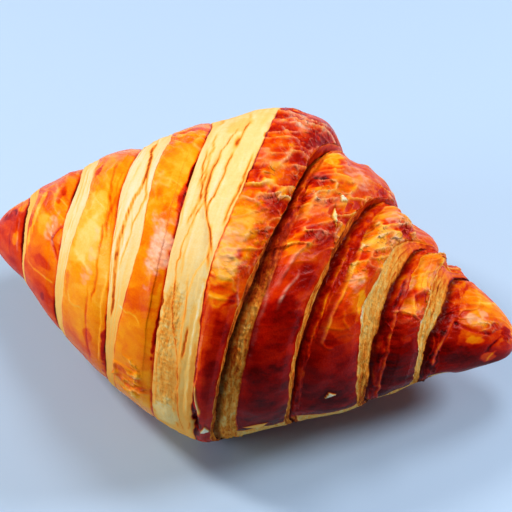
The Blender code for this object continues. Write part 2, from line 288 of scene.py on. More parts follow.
# torn sheet edges, folds, scorched lines and lines of painted sheen, by wrap: a path of (degrees, station),
# then its half width in millimetres, bake and paleSheen (painted sheen over pale skin) added on it, step up to its
# right, cut below the skin
lines = {
    "tipLeft": [
        {"path": ((78, -0.890), (62, -0.872), (46, -0.862), (30, -0.850)), "width": 0.30, "paleSheen": 0.35, "step": 0.10},
        {"path": ((60, -0.905), (40, -0.890), (20, -0.885)), "width": 0.30, "bake": 0.12, "step": 0.10},
        {"path": ((100, -0.925), (90, -0.905), (80, -0.898)), "width": 0.45, "bake": 0.20, "cut": 0.20},
    ],
    "outerLeft": [
        {"path": ((110, -0.838), (85, -0.828), (60, -0.812), (30, -0.795)), "width": 0.22, "bake": 0.20, "step": 0.15},
        {"path": ((96, -0.822), (80, -0.812), (62, -0.800), (48, -0.790)), "width": 0.20, "bake": 0.22, "step": 0.10},
        {"path": ((104, -0.688), (92, -0.678), (80, -0.672), (66, -0.664)), "width": 0.35, "bake": 0.32, "cut": 0.15},
        {"path": ((64, -0.668), (56, -0.686), (50, -0.688), (44, -0.668), (38, -0.650)), "width": 0.30, "bake": 0.34, "cut": 0.2},
        {"path": ((27, -0.775), (24, -0.73), (23, -0.69), (21, -0.65)), "width": 0.50, "bake": -0.24, "step": 0.1},
        {"path": ((74, -0.700), (64, -0.700), (54, -0.694), (47, -0.682)), "width": 0.45, "paleSheen": 0.8, "step": 0.15},
    ],
    "middleLeft": [
        {"path": ((108, -0.655), (85, -0.628), (60, -0.625)), "width": 0.25, "bake": 0.10, "step": 0.12},
        {"path": ((100, -0.530), (94, -0.522), (87, -0.515), (78, -0.497), (68, -0.478), (56, -0.464)), "width": 0.28, "bake": 0.26, "cut": 0.12},
        {"path": ((62, -0.478), (52, -0.470), (38, -0.452), (26, -0.450)), "width": 0.24, "bake": 0.30, "cut": 0.12},
        {"path": ((92, -0.500), (80, -0.487), (66, -0.467), (54, -0.447)), "width": 0.40, "bake": 0.16, "step": 0.15},
        {"path": ((30, -0.475), (16, -0.466), (0, -0.452), (-12, -0.446)), "width": 0.30, "bake": 0.25, "cut": 0.12},
        {"path": ((40, -0.425), (26, -0.415), (10, -0.407), (-6, -0.402)), "width": 0.35, "bake": -0.16, "step": 0.15},
        {"path": ((24, -0.560), (18, -0.545), (17, -0.52), (19, -0.49)), "width": 0.35, "bake": -0.16, "step": 0.08},
    ],
    "innerLeft": [
        {"path": ((112, -0.428), (104, -0.418), (96, -0.405), (88, -0.392), (81, -0.388), (74, -0.398), (65, -0.408),
                  (54, -0.405), (44, -0.396), (34, -0.380), (24, -0.366)), "width": 0.26, "bake": 0.42, "step": -0.25},
        {"path": ((106, -0.424), (98, -0.410), (90, -0.392), (84, -0.378), (78, -0.360), (75, -0.346)), "width": 0.55, "bake": 0.34, "step": 0.15},
        {"path": ((76, -0.358), (66, -0.368), (56, -0.374), (45, -0.380)), "width": 0.20, "bake": 0.28, "step": 0.12},
        {"path": ((96, -0.442), (84, -0.440), (70, -0.436), (56, -0.424)), "width": 0.25, "bake": 0.06, "step": 0.10},
        {"path": ((28.5, -0.345), (27.5, -0.31), (28, -0.28), (26, -0.25)), "width": 0.45, "bake": -0.22, "step": 0.1},
        {"path": ((50, -0.262), (44, -0.252), (38, -0.235)), "width": 0.35, "paleSheen": 0.6, "step": 0.15},
    ],
    "centre": [
        {"path": ((106, -0.122), (100, -0.132), (92, -0.145), (84, -0.148), (78, -0.143), (73, -0.130), (69, -0.112),
                  (65, -0.092), (61, -0.072), (57, -0.058)), "width": 0.32, "bake": 0.42, "step": 0.35},
        {"path": ((91, -0.146), (85, -0.149), (79, -0.143), (75, -0.134)), "width": 0.60, "bake": 0.40},
        {"path": ((101, -0.106), (99, -0.103), (97, -0.101)), "width": 0.75, "bake": 0.62, "cut": 0.2},
        {"path": ((93, -0.098), (88, -0.102), (83, -0.106), (77, -0.111), (70, -0.115)), "width": 0.45, "bake": 0.46, "step": 0.25},
        {"path": ((64, -0.082), (58, -0.070), (52, -0.056)), "width": 0.55, "bake": 0.34, "step": 0.2},
        {"path": ((106, -0.196), (96, -0.180), (87, -0.174), (82, -0.186)), "width": 0.22, "bake": 0.26, "step": 0.18},
        {"path": ((96, -0.205), (89, -0.192), (83, -0.176), (78, -0.158), (74, -0.150)), "width": 0.30, "bake": 0.30, "step": 0.2},
        {"path": ((86, -0.162), (80, -0.168), (76, -0.163), (70, -0.168), (66, -0.172)), "width": 0.28, "bake": 0.34, "step": 0.2},
        {"path": ((112, -0.088), (106, -0.092), (100, -0.090)), "width": 0.20, "bake": 0.34, "step": 0.1},
        {"path": ((74, -0.138), (66, -0.155), (58, -0.171), (50, -0.164), (42, -0.158), (34, -0.147), (27, -0.128),
                  (21, -0.105), (14, -0.094), (5, -0.085), (-6, -0.079), (-18, -0.066)), "width": 0.30, "bake": 0.34, "step": 0.40},
        {"path": ((57, -0.060), (52, -0.085), (46, -0.101), (38, -0.105), (28, -0.100), (16, -0.090)), "width": 0.25, "bake": 0.16, "step": 0.18},
        {"path": ((29, -0.079), (24, -0.081), (20, -0.080)), "width": 0.22, "bake": 0.50, "cut": 0.2},
        {"path": ((45, -0.060), (30, -0.058), (14, -0.052), (-4, -0.048)), "width": 0.30, "bake": -0.16, "step": 0.10},
        {"path": ((92, -0.026), (84, -0.030), (76, -0.036), (68, -0.046)), "width": 0.22, "bake": 0.45, "cut": 0.10},
        {"path": ((84, 0.012), (82, 0.04), (80, 0.07), (79, 0.088)), "width": 0.35, "paleSheen": 0.5, "cut": -0.30},
        {"path": ((77, -0.02), (76, 0.01), (76.5, 0.04), (74, 0.06)), "width": 0.35, "paleSheen": 0.5, "cut": -0.35},
        {"path": ((70, -0.035), (69, -0.01), (71, 0.02), (73, 0.05), (77, 0.085)), "width": 0.40, "paleSheen": 0.6, "cut": -0.40},
        {"path": ((65, -0.03), (63.5, 0.0), (65, 0.03), (68, 0.06)), "width": 0.40, "paleSheen": 0.45, "cut": -0.35},
        {"path": ((109, 0.03), (107, 0.05), (106, 0.08), (104, 0.11), (101, 0.13)), "width": 0.35, "paleSheen": 0.9, "cut": -0.35},
        {"path": ((121, 0.045), (117, 0.05), (113, 0.058), (112, 0.075), (116, 0.088), (121, 0.082)), "width": 0.35, "paleSheen": 0.9, "cut": -0.35},
        {"path": ((48, 0.050), (43, 0.062), (41, 0.080)), "width": 0.30, "paleSheen": 0.7, "cut": -0.25},
        {"path": ((10, -0.024), (4, -0.018), (0, -0.010), (-2, 0.0)), "width": 0.35, "bake": -0.9, "paleSheen": 0.9, "cut": -0.7},
    ],
    "innerRight": [
        {"path": ((76, 0.252), (70, 0.232), (65, 0.205), (60, 0.188), (52, 0.172)), "width": 0.50, "paleSheen": 0.75, "cut": -0.55},
        {"path": ((56, 0.222), (52, 0.206), (48, 0.192), (44, 0.180)), "width": 0.40, "paleSheen": 0.8, "cut": -0.40},
        {"path": ((60, 0.152), (50, 0.150), (40, 0.146)), "width": 0.30, "paleSheen": 0.5, "cut": -0.20},
        {"path": ((112, 0.215), (106, 0.228), (101, 0.246)), "width": 0.45, "bake": -0.12, "cut": -0.35},
        {"path": ((120, 0.205), (112, 0.203), (104, 0.214)), "width": 0.45, "bake": -0.12, "cut": -0.35},
        {"path": ((97, 0.19), (96, 0.21), (98, 0.235)), "width": 0.60, "bake": 0.35, "cut": 0.5},
        {"path": ((94, 0.28), (93, 0.295), (93.5, 0.310)), "width": 0.40, "paleSheen": 1.0, "cut": -0.3},
        {"path": ((88, 0.20), (86, 0.225), (89, 0.25), (92, 0.265)), "width": 0.35, "paleSheen": 0.6, "cut": -0.3},
    ],
    "middleRight": [
        {"path": ((82, 0.404), (72, 0.396), (62, 0.388), (52, 0.374), (42, 0.362), (30, 0.348)), "width": 0.40, "bake": -0.35, "paleSheen": 0.15, "cut": -0.45},
        {"path": ((70, 0.362), (56, 0.348), (44, 0.336), (30, 0.322)), "width": 0.30, "bake": -0.25, "cut": -0.35},
        {"path": ((86, 0.372), (76, 0.364), (66, 0.356)), "width": 0.28, "bake": -0.25, "cut": -0.30},
        {"path": ((98, 0.372), (92, 0.358), (86, 0.346), (80, 0.336)), "width": 0.60, "bake": -0.45, "paleSheen": 0.2, "cut": -0.40},
        {"path": ((90, 0.44), (88, 0.46), (90, 0.49), (93, 0.52)), "width": 0.35, "paleSheen": 0.5, "cut": -0.25},
        {"path": ((64, 0.395), (62.5, 0.41), (63, 0.43)), "width": 0.55, "paleSheen": 0.8, "cut": -0.2},
        {"path": ((46, 0.385), (40, 0.40), (38, 0.43)), "width": 0.35, "bake": -0.18, "cut": -0.2},
        {"path": ((30, 0.345), (27, 0.36), (28, 0.38)), "width": 0.45, "bake": -0.18, "cut": -0.2},
    ],
    "outerRight": [
        {"path": ((56, 0.570), (46, 0.570), (30, 0.568), (12, 0.562), (-6, 0.556), (-22, 0.552)), "width": 0.36, "bake": -0.35, "paleSheen": 0.15, "cut": -0.40},
        {"path": ((80, 0.580), (70, 0.566), (58, 0.556)), "width": 0.35, "bake": -0.25, "cut": -0.30},
        {"path": ((98, 0.718), (86, 0.712), (72, 0.704), (55, 0.696)), "width": 0.25, "bake": 0.22, "cut": 0.25},
        {"path": ((97, 0.690), (85, 0.680), (70, 0.680), (55, 0.682)), "width": 0.25, "bake": 0.22, "cut": 0.25},
        {"path": ((92, 0.610), (84, 0.604), (76, 0.602), (66, 0.610), (60, 0.622)), "width": 0.30, "bake": 0.22, "cut": 0.30},
        {"path": ((90, 0.640), (80, 0.634), (70, 0.640), (62, 0.648)), "width": 0.28, "bake": 0.18, "cut": 0.25},
        {"path": ((84, 0.590), (76, 0.584), (66, 0.586)), "width": 0.28, "paleSheen": 0.5, "cut": -0.25},
        {"path": ((52, 0.562), (54, 0.59), (51, 0.62), (49, 0.65)), "width": 0.40, "bake": -0.12, "paleSheen": 0.4, "cut": -0.35},
    ],
    "tipRight": [
        {"path": ((62, 0.768), (45, 0.752), (25, 0.735), (8, 0.728)), "width": 0.34, "bake": -0.28, "paleSheen": 0.15, "cut": -0.25},
        {"path": ((59, 0.770), (57, 0.81), (55, 0.86), (58, 0.90)), "width": 0.70, "bake": 0.22, "cut": 0.25},
        {"path": ((84, 0.790), (88, 0.81), (94, 0.84), (104, 0.868), (120, 0.89), (136, 0.90)), "width": 0.55, "bake": -0.25, "cut": -0.40},
        {"path": ((66, 0.945), (50, 0.925), (36, 0.905), (24, 0.895)), "width": 0.35, "bake": 0.25, "cut": 0.25},
        {"path": ((30, 0.935), (16, 0.915), (4, 0.905)), "width": 0.30, "bake": -0.25, "cut": -0.20},
    ],
}

# spots, by wrap, each an oval with a ragged edge: degrees, station, half height in degrees, half
# width in stations, then
# crust and sheets: the bake there, and how much of it; paleSheen: how much pale skin under a
# painted sheen; swell: millimetres out; bubbles: how thick with tiny bubbles; folds: how much more crumpled
spots = {
    "tipLeft": {
        "crust": [(86, -0.935, 10, 0.028, 0.86, 0.8), (76, -0.905, 7, 0.018, 0.80, 0.8), (124, -0.945, 17, 0.055, 0.32, 0.95),
                  (100, -0.89, 12, 0.02, 0.42, 0.8), (44, -0.868, 10, 0.014, 0.44, 0.7), (60, -0.94, 12, 0.04, 0.70, 0.7),
                  (20, -0.93, 22, 0.05, 0.66, 0.7), (10, -0.865, 9, 0.03, 0.76, 0.8)]},
    "outerLeft": {
        "crust": [(96, -0.765, 16, 0.034, 0.58, 0.8), (118, -0.80, 10, 0.04, 0.52, 0.8), (88, -0.716, 13, 0.013, 0.67, 0.9),
                  (100, -0.748, 8, 0.012, 0.58, 0.8), (72, -0.795, 34, 0.013, 0.24, 0.85), (66, -0.742, 12, 0.030, 0.34, 0.7),
                  (50, -0.745, 8, 0.026, 0.44, 0.7), (34, -0.71, 5, 0.050, 0.67, 0.9), (8, -0.69, 9, 0.05, 0.70, 0.9),
                  (5, -0.682, 4, 0.010, 0.84, 0.9), (54, -0.662, 6, 0.010, 0.42, 0.8)],
        "paleSheen": [(62, -0.706, 10, 0.022, 0.55)]},
    "middleLeft": {
        # in crust, the spot at 110 degrees and station -0.50 is painted shade along the top edge, where it turns away
        "crust": [(99, -0.592, 8, 0.013, 0.66, 0.9), (110, -0.60, 6, 0.02, 0.50, 0.8), (98, -0.535, 10, 0.045, 0.47, 0.8),
                  (76, -0.53, 10, 0.046, 0.24, 0.9), (55, -0.52, 13, 0.052, 0.15, 0.9), (34, -0.545, 7, 0.040, 0.44, 0.8),
                  (31, -0.57, 7, 0.012, 0.50, 0.8), (12, -0.51, 9, 0.05, 0.40, 0.7), (4, -0.455, 8, 0.018, 0.64, 0.8),
                  (-4, -0.52, 8, 0.06, 0.60, 0.7), (6, -0.389, 16, 0.010, 0.80, 0.9), (110, -0.50, 4, 0.05, 0.50, 0.8)],
        "paleSheen": [(48, -0.492, 13, 0.022, 0.45)]},
    "innerLeft": {
        # in crust, the spot at 116 degrees is painted shade along the top edge, where it turns away
        "crust": [(104, -0.305, 7, 0.045, 0.42, 0.9), (116, -0.30, 3, 0.06, 0.62, 0.8), (86, -0.285, 8, 0.045, 0.38, 0.9),
                  (72, -0.285, 6, 0.045, 0.35, 0.9), (56, -0.262, 10, 0.036, 0.46, 0.8), (43, -0.228, 5, 0.020, 0.58, 0.9),
                  (76, -0.226, 7, 0.010, 0.66, 0.95), (88, -0.222, 9, 0.010, 0.74, 0.9), (34, -0.275, 6, 0.05, 0.58, 0.8),
                  (12, -0.25, 10, 0.06, 0.50, 0.8), (14, -0.32, 10, 0.016, 0.42, 0.8), (-4, -0.27, 6, 0.07, 0.46, 0.8),
                  (22, -0.196, 9, 0.006, 0.82, 0.9)],
        "paleSheen": [(56, -0.250, 13, 0.050, 1.25)],
        "bubbles": [(55, -0.250, 13, 0.050, 1.0)],
        "folds": [(-3, -0.27, 9, 0.08, 0.5)]},
    "centre": {
        "crust": [(118, 0.06, 10, 0.09, 0.72, 0.8), (110, 0.14, 8, 0.025, 0.86, 0.8), (98, 0.05, 8, 0.055, 0.52, 0.8),
                  (84, 0.03, 6, 0.05, 0.46, 0.8), (67, 0.00, 8, 0.055, 0.40, 0.9), (78, 0.085, 8, 0.02, 0.62, 0.8),
                  (60, 0.05, 6, 0.03, 0.46, 0.8), (49, 0.02, 4, 0.045, 0.58, 0.8), (24, -0.024, 18, 0.013, 0.58, 0.9),
                  (30, -0.008, 12, 0.012, 0.70, 0.8), (28, 0.038, 14, 0.028, 0.86, 0.9), (11, 0.022, 11, 0.028, 0.90, 0.9),
                  (-10, -0.012, 10, 0.020, 1.0, 1.0), (127, 0.172, 14, 0.034, 0.92, 0.85),
                  (53, -0.008, 10, 0.045, 0.32, 0.9)],
        "sheets": [(28, -0.150, 18, 0.040, 0.45, 0.9), (4, -0.130, 12, 0.050, 0.48, 0.9), (-12, -0.125, 9, 0.055, 0.20, 0.9),
                   (30, -0.195, 9, 0.007, 0.86, 0.95), (24, -0.056, 24, 0.026, 0.32, 0.9), (-4, -0.054, 14, 0.022, 0.38, 0.9),
                   (14, -0.042, 24, 0.012, 0.46, 0.9),
                   (98, -0.165, 14, 0.035, 0.16, 0.8), (96, -0.070, 20, 0.035, 0.20, 0.8), (112, -0.12, 8, 0.05, 0.30, 0.8)],
        "paleSheen": [(119, 0.07, 7, 0.04, 0.55), (58, -0.004, 9, 0.05, 0.45), (24, -0.026, 8, 0.006, 0.2)],
        "swell": [(-10, -0.016, 9, 0.012, -2.4), (-12, -0.125, 12, 0.05, 0.5)],
        "bubbles": [(26, -0.145, 22, 0.040, 1.0), (2, -0.135, 14, 0.05, 0.8)]},
    "innerRight": {
        "crust": [(116, 0.235, 13, 0.026, 0.36, 0.9), (101, 0.27, 6, 0.05, 0.52, 0.8), (115, 0.30, 9, 0.05, 0.62, 0.8),
                  (96, 0.20, 4, 0.03, 0.80, 0.7), (87, 0.22, 6, 0.05, 0.42, 0.8), (80, 0.30, 8, 0.022, 0.76, 0.8),
                  (68, 0.20, 6, 0.04, 0.50, 0.8), (72, 0.275, 8, 0.03, 0.74, 0.8), (56, 0.25, 8, 0.04, 0.84, 0.8),
                  (36, 0.21, 12, 0.06, 0.90, 0.9), (8, 0.20, 14, 0.07, 0.95, 0.9)],
        "paleSheen": [(113, 0.31, 8, 0.045, 0.5), (86, 0.235, 6, 0.04, 0.3)]},
    "middleRight": {
        "crust": [(103, 0.47, 7, 0.04, 0.46, 0.8), (116, 0.50, 8, 0.06, 0.55, 0.8), (87, 0.43, 8, 0.04, 0.40, 0.8),
                  (76, 0.48, 5, 0.03, 0.48, 0.8), (66, 0.41, 7, 0.035, 0.42, 0.8), (52, 0.42, 7, 0.045, 0.58, 0.8),
                  (37, 0.395, 6, 0.05, 0.66, 0.7), (18, 0.41, 8, 0.05, 0.90, 0.8), (-6, 0.41, 13, 0.06, 1.0, 0.9),
                  (52, 0.442, 9, 0.018, 0.36, 0.8)],
        "paleSheen": [(104, 0.475, 6, 0.03, 0.6), (63, 0.41, 5, 0.024, 0.5)]},
    "outerRight": {
        "crust": [(108, 0.66, 9, 0.05, 0.44, 0.8), (82, 0.615, 12, 0.045, 0.36, 0.9), (58, 0.60, 8, 0.035, 0.38, 0.7),
                  (43, 0.60, 6, 0.05, 0.80, 0.9), (36, 0.61, 4, 0.022, 0.66, 0.8), (12, 0.61, 16, 0.06, 0.97, 0.9)],
        "paleSheen": [(88, 0.645, 8, 0.03, 0.4), (57, 0.60, 4, 0.045, 0.5), (74, 0.585, 8, 0.02, 0.4)]},
    "tipRight": {
        "crust": [(108, 0.86, 10, 0.04, 0.38, 0.9), (100, 0.80, 10, 0.03, 0.50, 0.8), (74, 0.835, 11, 0.045, 0.38, 0.8),
                  (82, 0.90, 14, 0.03, 0.60, 0.8), (44, 0.845, 8, 0.040, 0.46, 0.8), (22, 0.80, 13, 0.06, 0.94, 0.9),
                  (16, 0.91, 10, 0.03, 0.62, 0.8), (62, 0.962, 34, 0.022, 0.86, 0.9),
                  (46, 0.776, 16, 0.022, 0.92, 0.8)],
        "paleSheen": [(70, 0.825, 8, 0.035, 0.7), (84, 0.86, 6, 0.02, 0.5)],
        "swell": [(20, 0.875, 40, 0.05, 0.8)]},
}

# loose chips of skin, by wrap: degrees, station, half length and half width in millimetres,
# the way it points in degrees from the roll's length, bake, lift in millimetres; each is a
# triangle, its base three half lengths long and its height three half widths
chips = {
    "innerRight": [(84, 0.284, 1.6, 0.40, 112, 0.16, 0.50), (92.5, 0.292, 0.8, 0.5, 160, 0.0, 0.35),
                   (-17, 0.178, 2.4, 1.2, 195, 0.36, 0.25)],
    "middleRight": [(-1, 0.398, 1.0, 0.55, 20, 0.02, 0.50)],
    "centre": [(-14, 0.016, 1.0, 1.6, 0, 0.02, 0.40)],
}


# How far a place lies to the right of a path, in millimetres, and 1 beside the path fading to 0
# beyond its ends.  The path wavers by a quarter of a millimetre.  A path that runs more along the
# roll than round it is measured across the roll's length instead.
def besidePath(at, path, seed):
    turns, places = (np.array(values) for values in zip(*path))
    girth = at["girth"]
    long = abs(places[-1] - places[0]) * 79 > abs(turns[-1] - turns[0]) * 0.75
    if long:
        order = np.argsort(places)
        shift = 0.008
        here = sum(np.interp(at["station"] + n * shift, places[order], turns[order]) for n in (-1, 0, 1)) / 3
        slope = (np.interp(at["station"] + shift, places[order], turns[order])
                 - np.interp(at["station"] - shift, places[order], turns[order])) / (2 * shift)
        steep = slope * 0.75 * girth / 79
        away = (at["degrees"] - here) * 0.75 * girth / np.hypot(1, steep)
        ends = ease(at["station"], places.min() - 0.006, places.min() + 0.006)
        ends = ends * (1 - ease(at["station"], places.max() - 0.006, places.max() + 0.006))
        run = at["along"]
    else:
        order = np.argsort(turns)
        shift = 1.8
        here = sum(np.interp(at["degrees"] + n * shift, turns[order], places[order]) for n in (-1, 0, 1)) / 3
        slope = (np.interp(at["degrees"] + shift, turns[order], places[order])
                 - np.interp(at["degrees"] - shift, turns[order], places[order])) / (2 * shift)
        steep = slope * 79 / (0.75 * girth)
        away = (at["station"] - here) * 79 / np.hypot(1, steep)
        ends = ease(at["degrees"], turns.min() - 3, turns.min() + 3)
        ends = ends * (1 - ease(at["degrees"], turns.max() - 3, turns.max() + 3))
        run = at["around"]
    waver = 0.40 * softNoise(run / 3.1, seed, 0.5) + 0.16 * softNoise(run / 1.1, seed, 3.5)
    return away + waver, ends


# 1 inside an oval spot, falling to 0 over its ragged edge.
def insideSpot(at, spot, ragged):
    turn, place, high, wide = spot[:4]
    away = np.hypot((at["degrees"] - turn) / high, (at["station"] - place) / wide) + ragged
    return 1 - ease(away, 0.7, 1.12)


# Columns round a wrap, crowded where it is seen and sparse on the flat base.
def columnAngles(count):
    fine = np.linspace(-90, 270, 4000)
    density = 0.3 + 0.7 * ease(fine, -60, -35) * (1 - ease(fine, 130, 215) * 0.5) * (1 - ease(fine, 215, 245))
    reached = np.concatenate([[0], np.cumsum(density[:-1])])
    return np.radians(np.interp(np.arange(count) / count * reached[-1], reached, fine))


# Rows across a wrap: a quadratic B-spline through the middles of the sides of a bent line of
# points, each (station, depth in millimetres, reach from the axis 0..1); it rounds every corner.
def roundedProfile(points, counts):
    stacked = np.stack([np.stack(np.broadcast_arrays(*p)) for p in points])
    rows = []
    for number in range(1, len(points) - 1):
        before, here, after = stacked[number - 1], stacked[number], stacked[number + 1]
        start = before if number == 1 else (before + here) / 2
        end = after if number == len(points) - 2 else (here + after) / 2
        t = np.linspace(0, 1, counts[number - 1], endpoint=number == len(points) - 2)[:, None, None]
        rows.append((1 - t) ** 2 * start + 2 * t * (1 - t) * here + t * t * end)
    return np.concatenate(rows)


# The bent line of one side of a wrap, from the crown's middle outwards; side is -1 or 1.  Each
# point is (station, depth in millimetres, reach), depths growing with the groove beside it.
def sidePoints(side, kind, middle, foot, other, groove, fade):
    if kind == "tip":
        return [(middle + (side - middle) * share, 0.0, 1.0) for share in (0.4, 0.7, 0.88, 0.95, 0.98, 1.0)] + [(side * 1.0, 0.0, 0.0)]
    deep = [(foot + side * 0.034, 8.5, 0.9), (foot + side * 0.034, 8.5, 0.0)]
    tuckedUnder = [(foot - side * 0.030, 8.5, 0.9), (foot - side * 0.030, 8.5, 0.0)]
    groove = groove * fade
    if kind == "under":
        return [
            (foot - side * 0.45 * np.abs(foot - middle), 0.10 * groove, 1.0),
            (foot - side * 0.030, 0.40 * groove, 1.0),
            (foot - side * 0.008, 0.85 * groove, 1.0),
            (foot, 1.05 * groove + 0.2, 1.0),
            (foot + side * 0.012, groove + 1.1, 1.0),
            (foot + side * 0.030, groove + 3.0, 1.0)] + deep
    width = np.abs(other - foot)
    if kind == "shelf":
        return [
            (other - side * 0.55 * np.abs(other - middle), 0.0, 1.0),
            (other - side * 0.026, 0.07 * groove, 1.0),
            (other - side * 0.008, 0.22 * groove, 1.0),
            (other + side * 0.001, 0.44 * groove, 1.0),
            (other + side * 0.25 * width, 0.50 * groove, 1.0),
            (other + side * 0.55 * width, 0.52 * groove, 1.0),
            (other + side * 0.68 * width, 0.72 * groove, 1.0),
            (other + side * 0.78 * width, 1.00 * groove, 1.0),
            (foot + side * 0.004, 1.10 * groove + 0.2, 1.0),
            (foot + side * 0.024, 1.10 * groove + 2.0, 1.0)] + deep
    if kind == "sheets":
        return [
            (other - side * 0.40 * np.abs(other - middle), 0.0, 1.0),
            (other - side * 0.010, -0.02, 1.0),
            (other - side * 0.001, 0.02, 1.0),
            (other + side * 0.004, 0.30 * fade, 1.0),
            (other + side * 0.35 * width, 0.25 * fade + 0.20 * groove, 1.0),
            (foot - side * 0.012, 0.20 * fade + 0.40 * groove, 1.0),
            (foot, 0.30 * fade + 0.50 * groove, 1.0),
            (foot - side * 0.002, groove + 0.9, 1.0),
            (foot - side * 0.020, groove + 3.0, 1.0)] + tuckedUnder
    return [
        (other - side * 0.55 * np.abs(other - middle), 0.0, 1.0),
        (other - side * 0.026, 0.09 * groove, 1.0),
        (other - side * 0.008, 0.24 * groove, 1.0),
        (other + side * 0.001, 0.36 * groove, 1.0),
        (other + side * 0.002, 0.36 * groove + 0.4 * fade, 1.0),
        (other + side * 0.5 * width, 0.60 * groove + 0.2 * fade, 1.0),
        (foot - side * 0.003, 0.88 * groove, 1.0),
        (foot, 1.00 * groove, 1.0),
        (foot - side * 0.004, 1.20 * groove + 0.6, 1.0),
        (foot - side * 0.020, 1.20 * groove + 2.4, 1.0)] + tuckedUnder


def fromHex(text):
    values = [int(text[i:i + 2], 16) / 255 for i in (1, 3, 5)]
    return (*[v / 12.92 if v <= 0.04045 else ((v + 0.055) / 1.055) ** 2.4 for v in values], 1.0)


# Adds a node, sets what is named and links what is a socket.
def addNode(tree, kind, settings=None, **inputs):
    node = tree.nodes.new(kind)
    for key, value in (settings or {}).items():
        setattr(node, key, value)
    for key, value in inputs.items():
        socket = node.inputs[int(key[1:])] if key[0] == "i" and key[1:].isdigit() else node.inputs[key.replace("_", " ")]
        if isinstance(value, bpy.types.NodeSocket):
            tree.links.new(value, socket)
        else:
            socket.default_value = value
    return node


def fillRamp(node, stops):
    ramp = node.color_ramp
    for position, colour in stops[2:]:
        ramp.elements.new(position)
    for element, (position, colour) in zip(ramp.elements, sorted(stops)):
        element.position = position
        element.color = fromHex(colour)


# Egg-washed crust over laminated dough: golden to mahogany where the wash browned, glossy, with
# streaks along the roll; the cut layers are bare cream dough, matt and finely grained.
bakedCrust = {
    "crustColours": ((0.0, "#f9dca0"), (0.12, "#fccf70"), (0.25, "#feb93a"), (0.38, "#fb9a0c"),
                     (0.50, "#f27703"), (0.60, "#e65402"), (0.70, "#d43201"), (0.80, "#b81601"),
                     (0.90, "#8e0500"), (1.0, "#4c0200")),
    "layerColours": ((0.0, "#efe2c2"), (0.12, "#eed596"), (0.25, "#f3c46a"), (0.40, "#f9ad48"),
                     (0.55, "#ee8a26"), (0.70, "#cc5816"), (0.85, "#8e2e0a"), (1.0, "#4c1003")),
    "crestGlintColour": "#ffd0a4",       # painted highlight on the crests of the crumpled skin, where it is also thin and pale
    "paleSheenColour": "#fcc0a0",       # painted pinkish sheen, over skin that is pale where it lifted and blistered
    "shadeColour": "#4a0802",       # painted shade at the bottom of a groove, over its scorched dark red
    "streakLength": 9.0,            # millimetres
    "streakWidth": 1.1,
    "grain": 0.45,
    "crestSpacing": 4.4,
    "crestHeight": 0.7,
    "flakeWidth": 0.8,
    "flakeLength": 3.2,
}


